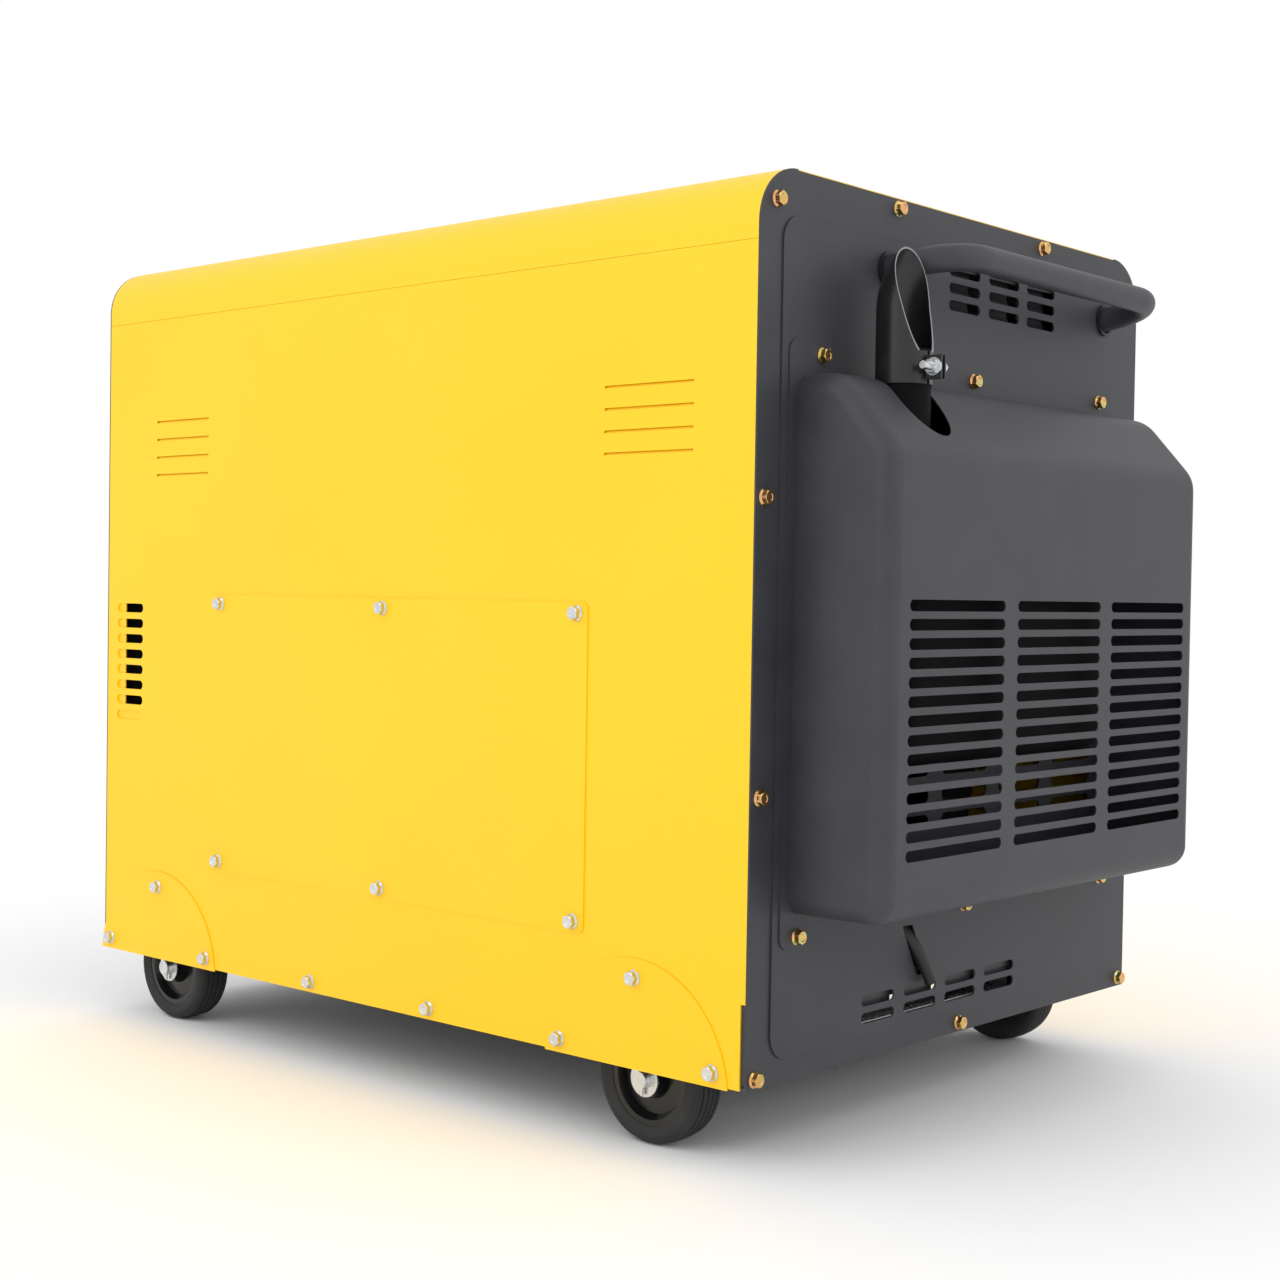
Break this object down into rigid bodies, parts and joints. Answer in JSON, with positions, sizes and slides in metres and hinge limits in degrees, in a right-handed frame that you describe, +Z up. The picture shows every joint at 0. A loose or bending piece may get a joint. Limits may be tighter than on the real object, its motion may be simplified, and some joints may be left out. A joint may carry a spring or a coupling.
{
  "type": "portable generator",
  "caption": "Silent diesel generating set: sheet-metal canopy on fixed wheels, rear muffler cover with exhaust elbow, carrying handles, control panel and side door.",
  "frame": {"origin": "floor level under the centre of the outer box", "axes": "+X towards the exhaust (rear) end, +Y towards the access door side, +Z up"},
  "size_m": [1.001, 0.5964, 0.7791],
  "materials": {
    "yellow_powder_coat": "satin powder coat",
    "black_textured_powder_coat": "fine-textured powder coat",
    "frame_paint": "satin",
    "exhaust_enamel": "semi-gloss heat-proof enamel",
    "bright_zinc": "bright zinc plate",
    "yellow_zinc": "yellow chromate zinc plate",
    "tyre_rubber": "moulded",
    "wheel_plastic": "moulded",
    "black_rubber": "moulded",
    "control_plate": "satin",
    "black_plastic": "moulded",
    "lid_plastic": "moulded",
    "red_plastic": "moulded",
    "lamp_lens": "translucent",
    "clear_lens": "polished",
    "tank_plastic": "blow-moulded",
    "cast_aluminium": "sand cast",
    "cast_iron": "as cast",
    "steel": "ground",
    "battery_case": "moulded"
  },
  "bodies": {
    "chassis": {"left_side_panel": "yellow_powder_coat", "right_side_panel": "yellow_powder_coat", "top_cover": "yellow_powder_coat", "service_cover": "yellow_powder_coat", "wheel_arch_covers": "yellow_powder_coat", "rear_panel": "black_textured_powder_coat", "front_panel": "black_textured_powder_coat", "muffler_cover": "black_textured_powder_coat", "rear_handle": "black_textured_powder_coat", "front_handle": "black_textured_powder_coat", "base_tray": "frame_paint", "inner_frame": "frame_paint", "axle_brackets": "frame_paint", "fan_shroud": "frame_paint", "exhaust_elbow": "exhaust_enamel", "muffler": "exhaust_enamel", "side_bolts": "bright_zinc", "axles": "bright_zinc", "axle_retainers": "bright_zinc", "elbow_clamp_bolt": "bright_zinc", "door_hinge_pins": "bright_zinc", "earth_stud": "bright_zinc", "end_bolts": "yellow_zinc", "drain_hose": "black_rubber", "rubber_mounts": "black_rubber", "handle_grommets": "black_rubber", "control_panel": "control_plate", "ac_sockets": "black_plastic", "circuit_breaker": "black_plastic", "voltmeter_case": "black_plastic", "key_switch": "black_plastic", "air_filter": "black_plastic", "dc_terminals": "red_plastic", "pilot_lamps": "lamp_lens", "voltmeter_lens": "clear_lens", "fuel_tank": "tank_plastic", "crankcase": "cast_aluminium", "cylinder_head": "cast_aluminium", "alternator_housing": "cast_aluminium", "cylinder_barrel": "cast_iron", "battery": "battery_case"},
    "rear_left_wheel": {"rear_left_wheel_hub": "wheel_plastic", "rear_left_tyre": "tyre_rubber"},
    "rear_right_wheel": {"rear_right_wheel_hub": "wheel_plastic", "rear_right_tyre": "tyre_rubber"},
    "front_left_wheel": {"front_left_wheel_hub": "wheel_plastic", "front_left_tyre": "tyre_rubber"},
    "front_right_wheel": {"front_right_wheel_hub": "wheel_plastic", "front_right_tyre": "tyre_rubber"},
    "rotating_group": {"crankshaft": "steel", "flywheel": "cast_iron", "alternator_rotor": "steel"},
    "door": {"access_door": "yellow_powder_coat"},
    "latch": {"door_latch": "bright_zinc"},
    "filler_cap": {"fuel_cap": "tank_plastic"},
    "key": {"ignition_key": "bright_zinc"},
    "toggle": {"breaker_toggle": "red_plastic"},
    "needle": {"voltmeter_needle": "red_plastic"},
    "left_lid": {"socket_lid_left": "lid_plastic"},
    "right_lid": {"socket_lid_right": "lid_plastic"}
  },
  "joints": [
    {"name": "rear_left_wheel_spin", "type": "hinge", "parent": "chassis", "child": "rear_left_wheel", "pos_m": [0.2985, -0.258, 0.0525], "axis": [0, 1, 0], "continuous": true},
    {"name": "rear_right_wheel_spin", "type": "hinge", "parent": "chassis", "child": "rear_right_wheel", "pos_m": [0.2985, 0.258, 0.0525], "axis": [0, 1, 0], "continuous": true},
    {"name": "front_left_wheel_spin", "type": "hinge", "parent": "chassis", "child": "front_left_wheel", "pos_m": [-0.337, -0.258, 0.0525], "axis": [0, 1, 0], "continuous": true},
    {"name": "front_right_wheel_spin", "type": "hinge", "parent": "chassis", "child": "front_right_wheel", "pos_m": [-0.337, 0.258, 0.0525], "axis": [0, 1, 0], "continuous": true},
    {"name": "engine_rotation", "type": "hinge", "parent": "chassis", "child": "rotating_group", "pos_m": [0.1705, 0, 0.2795], "axis": [1, 0, 0], "continuous": true},
    {"name": "door_hinge", "type": "hinge", "parent": "chassis", "child": "door", "pos_m": [-0.2305, 0.292, 0.3745], "axis": [0, 0, 1], "range_deg": [0, 110]},
    {"name": "latch_turn", "type": "hinge", "parent": "door", "child": "latch", "pos_m": [0.1405, 0.286, 0.3745], "axis": [0, -1, 0], "range_deg": [0, 90]},
    {"name": "cap_turn", "type": "hinge", "parent": "chassis", "child": "filler_cap", "pos_m": [-0.2295, 0, 0.7645], "axis": [0, 0, 1], "range_deg": [0, 90]},
    {"name": "key_turn", "type": "hinge", "parent": "chassis", "child": "key", "pos_m": [-0.437, -0.034, 0.5945], "axis": [1, 0, 0], "range_deg": [0, 90]},
    {"name": "toggle_flip", "type": "hinge", "parent": "chassis", "child": "toggle", "pos_m": [-0.431, -0.112, 0.5945], "axis": [0, 1, 0], "range_deg": [0, 44]},
    {"name": "needle_swing", "type": "hinge", "parent": "chassis", "child": "needle", "pos_m": [-0.4355, 0.12, 0.5805], "axis": [1, 0, 0], "range_deg": [0, 90], "stiffness_Nm_per_rad": 0.0005},
    {"name": "left_lid_hinge", "type": "hinge", "parent": "chassis", "child": "left_lid", "pos_m": [-0.4423, 0.105, 0.5365], "axis": [0, 1, 0], "range_deg": [0, 110], "stiffness_Nm_per_rad": 0.01, "springref_deg": -34.38},
    {"name": "right_lid_hinge", "type": "hinge", "parent": "chassis", "child": "right_lid", "pos_m": [-0.4423, 0.02, 0.5365], "axis": [0, 1, 0], "range_deg": [0, 110], "stiffness_Nm_per_rad": 0.01, "springref_deg": -34.38}
  ]
}
